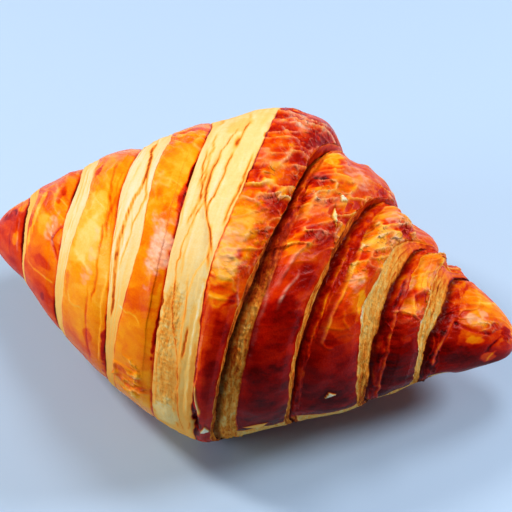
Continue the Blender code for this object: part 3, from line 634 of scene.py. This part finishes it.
def makeCrust():
    material = bpy.data.materials.new("bakedCrust")
    material.use_nodes = True
    tree = material.node_tree
    shader = tree.nodes["Principled BSDF"]
    place = addNode(tree, "ShaderNodeTexCoord").outputs["Object"]
    bake, layer, shade, paleSheen, crumple, flaky = (
        addNode(tree, "ShaderNodeAttribute", {"attribute_name": name}).outputs["Fac"]
        for name in ("bake", "layer", "shade", "paleSheen", "crumple", "flaky"))
    streakScale = [1000 / bakedCrust[size] for size in ("streakLength", "streakWidth", "streakWidth")]
    streakPlace = addNode(tree, "ShaderNodeMapping", Vector=place, Scale=streakScale).outputs["Vector"]
    streaks = addNode(tree, "ShaderNodeTexNoise", Vector=streakPlace, Scale=1.0, Detail=3.0, Roughness=0.6).outputs["Fac"]
    grain = addNode(tree, "ShaderNodeTexNoise", Vector=place, Scale=1000 / bakedCrust["grain"], Detail=2.0).outputs["Fac"]

    # crests of a bent ridged noise, as wide as the skin is thick, where the skin is crumpled: they raise the bump and
    # carry a painted highlight
    ridged = addNode(tree, "ShaderNodeTexNoise", {"noise_type": "RIDGED_MULTIFRACTAL"}, Vector=place,
                     Scale=1000 / bakedCrust["crestSpacing"], Detail=1.3, Roughness=0.6, Offset=1.0, Gain=1.2,
                     Distortion=1.1).outputs["Fac"]
    height = addNode(tree, "ShaderNodeMath", {"operation": "MULTIPLY"}, i0=ridged, i1=crumple).outputs[0]
    sharp = addNode(tree, "ShaderNodeMapRange", Value=ridged, i1=1.15, i2=2.0, i4=0.6).outputs[0]
    crestGlint = addNode(tree, "ShaderNodeMath", {"operation": "MULTIPLY"}, i0=sharp, i1=crumple).outputs[0]

    strength = addNode(tree, "ShaderNodeMapRange", Value=layer, i3=0.10, i4=0.06).outputs[0]
    streaked = addNode(tree, "ShaderNodeMath", {"operation": "MULTIPLY_ADD"}, i0=streaks, i1=strength, i2=bake).outputs[0]
    grained = addNode(tree, "ShaderNodeMath", {"operation": "MULTIPLY_ADD"}, i0=grain, i1=0.12, i2=streaked).outputs[0]
    worn = addNode(tree, "ShaderNodeMath", {"operation": "MULTIPLY_ADD"}, i0=height, i1=-0.10, i2=grained).outputs[0]
    flakeScale = [1000 / bakedCrust[size] for size in ("flakeWidth", "flakeLength", "flakeLength")]
    flakePlace = addNode(tree, "ShaderNodeMapping", Vector=place, Scale=flakeScale).outputs["Vector"]
    flakes = addNode(tree, "ShaderNodeTexNoise", Vector=flakePlace, Scale=1.0, Detail=4.0, Roughness=0.7, Distortion=0.4).outputs["Fac"]
    speckle = addNode(tree, "ShaderNodeMapRange", Value=flakes, i1=0.35, i2=0.65, i3=-0.15, i4=0.15).outputs[0]
    crumbly = addNode(tree, "ShaderNodeMath", {"operation": "MULTIPLY"}, i0=speckle, i1=flaky).outputs[0]
    speckled = addNode(tree, "ShaderNodeMath", {"operation": "ADD"}, i0=worn, i1=crumbly).outputs[0]
    level = addNode(tree, "ShaderNodeMath", {"operation": "SUBTRACT"}, i0=speckled, i1=0.11).outputs[0]
    crust = addNode(tree, "ShaderNodeValToRGB", Fac=level)
    fillRamp(crust, bakedCrust["crustColours"])
    layers = addNode(tree, "ShaderNodeValToRGB", Fac=level)
    fillRamp(layers, bakedCrust["layerColours"])

    def blend(amount, under, over):
        return addNode(tree, "ShaderNodeMix", {"data_type": "RGBA"}, i0=amount, i6=under, i7=over).outputs[2]
    # painted pinkish sheen over the crust
    sheened = blend(paleSheen, crust.outputs["Color"], fromHex(bakedCrust["paleSheenColour"]))
    # painted highlight on the crests
    crested = blend(crestGlint, sheened, fromHex(bakedCrust["crestGlintColour"]))
    both = blend(layer, crested, layers.outputs["Color"])
    # painted shade in the grooves, mixed in last
    shaded = blend(shade, both, fromHex(bakedCrust["shadeColour"]))
    tree.links.new(shaded, shader.inputs["Base Color"])

    rough = addNode(tree, "ShaderNodeMapRange", Value=layer, i3=0.16, i4=0.60).outputs[0]
    rougher = addNode(tree, "ShaderNodeMath", {"operation": "MULTIPLY_ADD"}, i0=grain, i1=0.12, i2=rough).outputs[0]
    tree.links.new(rougher, shader.inputs["Roughness"])
    shader.inputs["IOR"].default_value = 1.36
    shader.inputs["Specular IOR Level"].default_value = 0.07
    folded = addNode(tree, "ShaderNodeBump", Distance=bakedCrust["crestHeight"] * millimetre, Height=height).outputs["Normal"]
    flaked = addNode(tree, "ShaderNodeBump", Distance=0.0012, Height=crumbly, Normal=folded).outputs["Normal"]
    bump = addNode(tree, "ShaderNodeBump", Strength=0.4, Distance=0.0002, Height=grain, Normal=flaked)
    tree.links.new(bump.outputs["Normal"], shader.inputs["Normal"])
    return material


crustMaterial = makeCrust()
print("material made")


# Cut open where three strips of the wrap lie one above the other, to fill a square map: across a
# strip the map follows the angle, up it the rows, both by the length of dough between them.
def stripMap(points, strips):
    rows, columns = points.shape[:2]
    upward = np.linalg.norm(np.diff(points, axis=0), axis=-1).mean(1)
    onward = np.linalg.norm(np.diff(points, axis=1, append=points[:, :1]), axis=-1).mean(0)
    up = np.concatenate([[0], np.cumsum(upward)]) / upward.sum()
    on = np.concatenate([[0], np.cumsum(onward)]) / onward.sum()
    strip = np.minimum((on[:-1] * strips).astype(int), strips - 1)
    left, right = on[:-1] * strips - strip, np.minimum(on[1:] * strips - strip, 1)
    low, high = (strip + 0.01 + 0.98 * 0.02) / strips, (strip + 0.99) / strips

    def corner(across, height):
        return np.stack(np.broadcast_arrays(0.005 + 0.99 * across, low + (high - low) * height), -1)
    quads = np.stack([corner(left, up[:-1, None]), corner(right, up[:-1, None]),
                      corner(right, up[1:, None]), corner(left, up[1:, None])], 2).reshape(-1, 4, 2)
    fans = []
    for height in (0.0, 1.0):
        fans.append(np.stack([corner((left + right) / 2, height), corner(right, height), corner(left, height)], 1))
    return quads, fans


# A closed mesh from rows and columns: quads between neighbours, each end drawn to one point.
def closedMesh(name, points, fields, strips=3):
    rows, columns = points.shape[:2]
    first, last = points[0].mean(0), points[-1].mean(0)
    vertices = np.concatenate([points.reshape(-1, 3), [first, last]])
    i, j = np.meshgrid(np.arange(rows - 1), np.arange(columns), indexing="ij")
    k = (j + 1) % columns
    quads = np.stack([i * columns + j, i * columns + k, (i + 1) * columns + k, (i + 1) * columns + j], -1).reshape(-1, 4)
    around = np.arange(columns)
    beside = (around + 1) % columns
    firstFan = np.stack([np.full(columns, rows * columns), beside, around], -1)
    lastFan = np.stack([np.full(columns, rows * columns + 1), (rows - 1) * columns + around, (rows - 1) * columns + beside], -1)
    quadMap, (firstMap, lastMap) = stripMap(points, strips)
    lastMap = lastMap[:, [0, 2, 1]]
    a, b, c = (vertices[quads[:, n]] for n in (0, 1, 2))
    d = vertices[quads[:, 3]]
    volume = np.einsum("ij,ij->i", np.cross(a, b), c).sum() + np.einsum("ij,ij->i", np.cross(a, c), d).sum()
    faces = [quads, firstFan, lastFan]
    maps = [quadMap, firstMap, lastMap]
    if volume < 0:
        faces, maps = ([values[:, ::-1] for values in group] for group in (faces, maps))
    corners = np.concatenate([f.ravel() for f in faces])
    sizes = np.concatenate([np.full(len(quads), 4), np.full(2 * columns, 3)])
    mesh = bpy.data.meshes.new(name)
    mesh.vertices.add(len(vertices))
    mesh.vertices.foreach_set("co", vertices.ravel())
    mesh.loops.add(len(corners))
    mesh.loops.foreach_set("vertex_index", corners.astype(np.int32))
    mesh.polygons.add(len(sizes))
    mesh.polygons.foreach_set("loop_start", np.concatenate([[0], np.cumsum(sizes)[:-1]]).astype(np.int32))
    mesh.update(calc_edges=True)
    unwrapped = mesh.uv_layers.new(name="OFBake")
    unwrapped.data.foreach_set("uv", np.concatenate([m.ravel() for m in maps]).astype(np.float32))
    for field, values in fields.items():
        layer = mesh.attributes.new(field, "FLOAT", "POINT")
        layer.data.foreach_set("value", np.concatenate([values.ravel(), [0, 0]]).astype(np.float32))
    mesh.shade_smooth()
    return mesh


# Rows and columns of one wrap as (station, depth, reach), with the angles of its columns.
def wrapGrid(wrap):
    angle = columnAngles(wrap["columns"])
    fade = 0.12 + 0.88 * ease(np.sin(angle), -0.60, 0.85)      # grooves close towards the base
    fade = fade * (1 - wrap.get("closing", 0.65) * np.exp(-((np.degrees(angle) - 134) / 18) ** 2))     # and behind the top
    sides = {}
    for side, key in ((-1, "left"), (1, "right")):
        kind = wrap[key][0]
        foot = np.full(angle.shape, float(side)) if kind == "tip" else sheetEdge(wrap[key][1], angle)
        other = None if kind in ("tip", "under") else sheetEdge(wrap[key][2], angle)
        sides[side] = (kind, foot, other, 0 if kind == "tip" else wrap[key][3])
    ends = [sides[side][1] if sides[side][2] is None else sides[side][2] for side in (-1, 1)]
    middle = (ends[0] + ends[1]) / 2
    left, right = (sidePoints(side, kind, middle, foot, other, groove, fade)
                   for side, (kind, foot, other, groove) in sides.items())
    points = left[::-1] + [(middle, 0.0, 1.0)] + right
    points = [tuple(np.broadcast_to(v, angle.shape).astype(float) for v in p) for p in points]
    weights = []
    for before, here, after in zip(points, points[1:], points[2:]):
        run = (np.abs(after[0] - before[0]) * 79).mean() / 2 + np.abs(after[1] - before[1]).mean() / 2
        hidden = min(here[2].mean(), before[2].mean(), after[2].mean()) < 0.95 or here[1].mean() > 5.5
        steep = np.abs(after[1] - before[1]).mean() > 1.0
        weights.append(0.5 if hidden else run * (2.2 if steep else 1.0) + 0.4)
    counts = [max(2, round(w / sum(weights) * wrap["rows"])) for w in weights]
    return angle, sides, ends, roundedProfile(points, counts)


def makeWrap(number, name, wrap):
    angle, sides, ends, grid = wrapGrid(wrap)
    station, depth, reach = np.moveaxis(grid, 1, 0)
    angles = np.broadcast_to(angle, station.shape)
    girth = rollGirth(station)
    along = station * roll["halfLength"] / millimetre
    around = angles * 45 * girth
    degrees = np.degrees(angles)
    at = {"station": station, "degrees": degrees, "girth": girth, "along": along, "around": around}
    seed = number * 3.1
    marks = spots.get(name, {})
    seen = ease(np.sin(angles), -0.98, -0.55)       # nothing is drawn where the base is pressed flat

    # down: 0..1 over the cut layers; shelf: 0 at the crown's rise to 1 in the groove
    down, shelf, beyond = np.zeros(station.shape), np.zeros(station.shape), np.zeros(station.shape)
    tuckShade = np.zeros(station.shape)
    for side, (kind, foot, other, groove) in sides.items():
        if kind in ("sheets", "ledge"):
            down = np.maximum(down, np.clip((station - other) / (foot - other), -1, 1))
        elif kind == "shelf":
            shelf = np.maximum(shelf, np.clip((station - other) / (foot - other), 0, 1.4))
        elif kind == "under":
            tuckShade = np.exp(-(np.minimum(side * (station - foot), 0) * 79 / 0.45) ** 2)
    ragged = 0.75 * roughNoise(along / 4, around / 3, seed + 43, 4)
    sheets = wrap["left"][0] == "sheets"
    onSheets = np.zeros(station.shape)
    onRiser = np.zeros(station.shape)
    if sheets:
        kind, foot, other, groove = sides[-1]
        through = (station - other) / (foot - other)
        onSheets = ease(through + 0.05 * ragged, 0.0, 0.035)
        lipLine = np.exp(-((station - other) * 79 / 0.24) ** 2) * ease(softNoise(around / 5, seed + 97, 0.5), -0.5, 0.2)
    if wrap["right"][0] == "ledge":
        kind, foot, other, groove = sides[1]
        onRiser = ease((station - other) / (foot - other), -0.02, 0.06)
    onLayers = np.maximum(onSheets, onRiser)
    crown = 1 - onLayers
    calm = 1 - ease(degrees, 86, 104)      # the steps on the right are smooth over the top

    # relief in millimetres
    across = np.clip((station - ends[0]) / (ends[1] - ends[0]), 0, 1)
    bulge = wrap["bulge"] * (1 - np.abs(2 * across - 1) ** 2.5) * ease(np.sin(angles), -0.5, 0.3)
    lumps = (0.45 if sheets else 0.80) * roughNoise(along / 11, around / 12, seed, 3)
    folded = wrap["wrinkles"] * aroundRing((0.0, 0.0, 0.25, 1.0, 1.0, 0.5, 0.2, 0.05), angles)
    for spot in marks.get("folds", []):
        folded = folded + spot[4] * insideSpot(at, spot, ragged)
    folded = folded * (0.45 + 1.1 * ease(softNoise(along / 7, around / 6, seed + 61), -0.35, 0.35))
    longCrests = crests(along, around, 4.6, 2.5, seed + 17)
    fineCrests = crests(along, around, 2.0, 1.4, seed + 23)
    blister = blisters(along / 3.6, around / 3.0, number, 0.5)
    stood = 1 - 0.65 * ease(degrees, 112, 132)      # the far side is blown up smooth
    relief = lumps + bulge + crown * folded * stood * (0.80 * longCrests + 0.28 * fineCrests + 0.45 * blister)
    bubbly = 0
    for spot in marks.get("bubbles", []):
        bubbly = np.maximum(bubbly, spot[4] * insideSpot(at, spot, ragged))
    bubbles = blisters(along / 1.15, around / 1.0, number + 5, 0.8)
    relief = relief + bubbly * (0.30 * bubbles - 0.1)
    relief = relief + swollen(at, rollSwells) + swollen(at, marks.get("swell", []))

    # sheets lying over one another on the steps: each ends in a thin edge with a browned line
    count = 4 if sheets else 5
    layerBake = aroundRing(wrap["layers"], angles) * (1 - onRiser) + aroundRing(wrap.get("riser", 0), angles) * onRiser
    layerBake = layerBake + 0.07 * roughNoise(along / 3, around / 9, seed + 47, 3)
    layerBake = layerBake + 0.05 * softNoise(along / 0.6, around / 14, seed + 49)
    layerBake = layerBake + 0.16 * onRiser * roughNoise(along / 0.7, around / 2.2, seed + 33, 3)
    edge, terraces = 0, 0
    for step in range(count):
        wander = 0.5 / count * roughNoise(step * 7.7, around / 9, seed + step, 2)
        past = down - (step + 0.62) / count - wander
        shown = ease(softNoise(step * 3.3, around / 10, seed + 51), -0.1, 0.4)
        terraces = terraces + ease(past, 0, 0.03) / count
        edge = edge + shown * np.exp(-(past / 0.022) ** 2)
        layerBake = layerBake - 0.07 * shown * np.exp(-((past + 0.05) / 0.04) ** 2)
    relief = relief - onSheets * 0.55 * (terraces - down) - onRiser * calm * 1.1 * (terraces - down)
    relief = relief + (0.03 * onSheets + 0.30 * onRiser * calm) * roughNoise(along / 0.9, around / 2.0, seed + 31, 3)
    layerBake = layerBake + edge * (0.24 if sheets else 0.32)
    layerBake = layerBake - onRiser * 0.20 * (1 - ease(down, 0.04, 0.22)) + onRiser * 0.35 * ease(down, 0.75, 1.0)
    layerBake = layerBake + onSheets * 0.34 * ease(down, 0.965, 1.0)
    for spot in marks.get("sheets", []):
        layerBake = layerBake + (spot[4] - layerBake) * spot[5] * insideSpot(at, spot, ragged)
    layerBake = layerBake + bubbly * (0.20 * roughNoise(along / 0.9, around / 0.8, seed + 71, 2) - 0.10 * bubbles)

    # the crown
    bake = aroundRing(wrap["bake"], angles)
    bake = bake + 0.09 * roughNoise(along / 10, around / 7, seed + 41, 3)
    bake = bake + 0.12 * roughNoise(along / 16, around / 14, seed + 83, 2) * ease(degrees, 118, 150)
    for spot in marks.get("crust", []):
        bake = bake + (spot[4] - bake) * spot[5] * insideSpot(at, spot, ragged)
    bake = bake + 0.03 * roughNoise(along / 4.5, around / 1.2, seed + 45, 2)
    blotches = np.tanh(3 * roughNoise(along / 4.2, around / 3.2, seed + 91, 3))
    bake = bake + (0.04 + 0.07 * np.clip(folded, 0, 1)) * blotches
    bake = bake - folded * (0.28 * longCrests + 0.14 * fineCrests + 0.12 * blister - 0.18)
    bake = np.minimum(bake, 1.02 - 0.17 * np.clip(folded, 0, 1))
    # painted shade in the crease where the crown runs under its neighbour's foot
    bake = bake + 0.40 * tuckShade * np.clip(0.7 + 1.2 * roughNoise(around / 6, seed, 3.3, 2), 0, 1.2)
    flecks = ease(roughNoise(along / 1.5, around / 0.9, seed + 93, 3), -0.25, 0.35)
    patches = ease(roughNoise(along / 4.5, around / 4.5, seed + 95, 2), -0.22, 0.12)
    crumple = np.clip(1.4 * folded - 0.35, 0, 1) * patches * (0.4 + 0.6 * flecks)
    # painted pinkish sheen on the tops of the long crests, and on the listed spots of pale skin
    paleSheen = 0.95 * np.clip(1.3 * folded - 0.3, 0, 1) * longCrests ** 3 * (0.3 + 0.7 * flecks) * (0.35 + 0.65 * patches)
    for spot in marks.get("paleSheen", []):
        flecked = 0.15 + 0.85 * flecks + 0.45 * bubbly * (1 - flecks)
        paleSheen = paleSheen + 0.8 * spot[4] * insideSpot(at, spot, ragged) * flecked
    hem = 21 + 6 * roughNoise(along / 9, seed, 0.5, 3)
    skirt = ease(-degrees + 3 * ragged, hem - 1, hem + 0.5) * (1 - ease(-degrees, 42, 55))   # pale above the base
    if not sheets and name != "tipLeft":
        bake = bake + (0.34 - bake) * skirt
    base = ease(-np.sin(angles), 0.70, 0.92)
    bake = bake + (0.60 + 0.08 * ragged - bake) * base

    # the shelf and the groove, with painted shade deep in the groove
    bare = 0
    if wrap["left"][0] == "shelf":
        shelfMask = ease(shelf, 0.02, 0.12)
        shelfBake = aroundRing(wrap["shelf"], angles) + 0.20 * roughNoise(along / 0.8, around / 1.8, seed + 73, 3)
        bake = bake + (shelfBake - bake) * shelfMask
        paleSheen, crumple = paleSheen * (1 - shelfMask), crumple * (1 - shelfMask)
        bare = shelfMask * aroundRing(wrap["shelfBare"], angles)
        ridges = crests(along, around, 1.5, 9.0, seed + 75)
        uneven = 0.18 * roughNoise(along / 0.9, around / 1.6, seed + 77, 2) + 0.28 * ridges
        relief = relief + shelfMask * calm * uneven * (1 + 0.5 * bare)
        relief = relief + bare * 0.35 * blisters(along / 1.3, around / 1.2, number + 9, 0.7)
        bake = bake - shelfMask * 0.22 * ridges * ease(softNoise(along / 3, around / 7, seed + 79), -0.2, 0.3)
    # painted shade deep in each groove: over the far end of the shelf and the foot of the riser
    shade = 0.80 * ease(shelf, 0.66, 0.86) + 0.70 * onRiser * ease(down, 0.85, 1.0)

    bake = bake + (layerBake - bake) * onLayers
    if sheets:
        bake = bake + wrap["lipLine"] * lipLine
    hemmed = 0 if sheets or name == "tipLeft" else skirt * crown
    layer = np.clip(onSheets + onRiser * (0.25 + 0.75 * calm) + bare + hemmed, 0, 1)
    flaky = 0.12 * onSheets + 0.4 * bubbly * onSheets + onRiser * calm + bare + hemmed
    paleSheen, crumple = paleSheen * crown, crumple * crown * (1 - bare)
    for count, line in enumerate(lines.get(name, [])):
        away, present = besidePath(at, line["path"], seed + count * 1.9)
        near = present * np.exp(-np.abs(away / max(0.80 * line["width"], 0.32)) ** 2.4)
        broken = 0.65 + 0.6 * softNoise(along / 2.5, around / 2.5, seed + count * 2.3)
        scorched = near * line.get("bake", 0) * np.clip(broken, 0.6, 1) * (1 + 0.9 * onSheets)
        bake = np.where(onSheets > 0.5, np.minimum(bake + scorched, np.maximum(bake, 0.76)), bake + scorched)
        # painted sheen along the line
        paleSheen = paleSheen + 0.6 * near * line.get("paleSheen", 0) * np.clip(broken, 0, 1) * (0.3 + 0.7 * flecks)
        relief = relief - near * line.get("cut", 0)
        relief = relief + present * line.get("step", 0) * np.tanh(away / 0.12) * np.exp(-np.abs(away) / 2.5)
    for turn, place, half, wide, lean, chipBake, lift in chips.get(name, []):
        x, y = (station - place) * 79, (degrees - turn) * 0.75 * girth
        cosine, sine = math.cos(math.radians(lean)), math.sin(math.radians(lean))
        u, v = (x * cosine + y * sine) / half, (y * cosine - x * sine) / wide
        far = np.maximum(-v, np.abs(u) + 0.5 * v) + 0.25 * roughNoise(along / 0.8, around / 0.8, seed, 2)
        inside = 1 - ease(far, 0.8, 1.05)
        bake, layer = bake + (chipBake - bake) * inside, np.maximum(layer, inside)
        # painted shadow in a ring round the chip, where its lifted edge would shade the crust
        shade = shade + 0.5 * (1 - ease(far, 1.0, 1.9)) * (1 - inside)
        relief = relief + lift * inside

    relief = relief * seen * np.minimum(1, girth * 3)
    outward = (relief - depth) * np.minimum(1, girth * 2.2) * millimetre
    if "tip" in (wrap["left"][0], wrap["right"][0]):
        outward = outward * (1 - ease(np.abs(station), 0.93, 1.0))
    surface = rollPoint(station, angles) + rollNormal(station, angles) * outward[..., None]
    axis = rollPoint(station, angles * 0 + math.pi / 2) * 0.5 + rollPoint(station, angles * 0 - math.pi / 2) * 0.5
    surface = axis + (surface - axis) * reach[..., None]

    fields = {"bake": bake, "layer": layer, "shade": shade, "paleSheen": paleSheen, "crumple": crumple, "flaky": flaky}
    mesh = closedMesh(name, surface, {key: np.clip(values, 0, 1) for key, values in fields.items()})
    mesh.materials.append(crustMaterial)
    piece = bpy.data.objects.new(name, mesh)
    bpy.context.scene.collection.objects.link(piece)
    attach(piece, "root")
    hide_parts("croissant")
    print(name, len(mesh.polygons), "faces")
    return piece


pieces = [makeWrap(number, name, wrap) for number, (name, wrap) in enumerate(wraps.items())]


studio = {
    "floorColour": "#b0cbea",
    "skyColour": "#eef3fa",
    "skyStrength": 0.11,
    "lights": {                     # place, size, power, tint
        "key": ((-0.50, 0.00, 0.56), 0.13, 3.3, "#fff6ea"),
        "window": ((-0.56, -0.42, 0.36), 0.36, 1.7, "#ffffff"),
        "overhead": ((0.05, 0.30, 0.80), 0.30, 2.0, "#ffffff"),
        "right": ((0.56, 0.26, 0.53), 0.26, 4.3, "#ffffff"),
    },
}


def makeFloor():
    mesh = bpy.data.meshes.new("floor")
    size = 3.0
    mesh.from_pydata([(-size, -size, 0), (size, -size, 0), (size, size, 0), (-size, size, 0)], [], [(0, 1, 2, 3)])
    material = bpy.data.materials.new("paleTable")
    material.use_nodes = True
    shader = material.node_tree.nodes["Principled BSDF"]
    shader.inputs["Base Color"].default_value = fromHex(studio["floorColour"])
    shader.inputs["Roughness"].default_value = 0.55
    mesh.materials.append(material)
    floor = bpy.data.objects.new("floor", mesh)
    bpy.context.scene.collection.objects.link(floor)


def addLight(name, place, size, power, tint, target=(0, 0, 0.02)):
    light = bpy.data.lights.new(name, "AREA")
    light.shape = "DISK"
    light.size = size
    light.energy = power
    light.color = fromHex(tint)[:3]
    lamp = bpy.data.objects.new(name, light)
    lamp.location = place
    lamp.rotation_euler = (Vector(target) - Vector(place)).to_track_quat("-Z", "Y").to_euler()
    bpy.context.scene.collection.objects.link(lamp)


def makeWorld():
    world = bpy.data.worlds.new("studio")
    world.use_nodes = True
    back = world.node_tree.nodes["Background"]
    back.inputs["Color"].default_value = fromHex(studio["skyColour"])
    back.inputs["Strength"].default_value = studio["skyStrength"]
    bpy.context.scene.world = world


view = {"target": (-0.0046, 0.0396, 0.0), "azimuth": 9.5, "elevation": 45.0, "distance": 0.482, "roll": 5.6, "lens": 105.5}


# The camera looks at the target from its azimuth and elevation, then turns about its own axis.
def makeCamera():
    azimuth, elevation = math.radians(view["azimuth"]), math.radians(view["elevation"])
    back = Vector((math.sin(azimuth) * math.cos(elevation), -math.cos(azimuth) * math.cos(elevation), math.sin(elevation)))
    data = bpy.data.cameras.new("camera")
    data.lens = view["lens"]
    data.sensor_width = 36
    camera = bpy.data.objects.new("camera", data)
    turn = (-back).to_track_quat("-Z", "Y").to_matrix().to_4x4() @ Matrix.Rotation(math.radians(view["roll"]), 4, "Z")
    camera.matrix_world = Matrix.Translation(Vector(view["target"]) + back * view["distance"]) @ turn
    bpy.context.scene.collection.objects.link(camera)
    bpy.context.scene.camera = camera


makeFloor()
makeWorld()
for lightName, settings in studio["lights"].items():
    addLight(lightName, *settings)
makeCamera()
bpy.context.scene.view_settings.view_transform = "Standard"
print("studio ready")
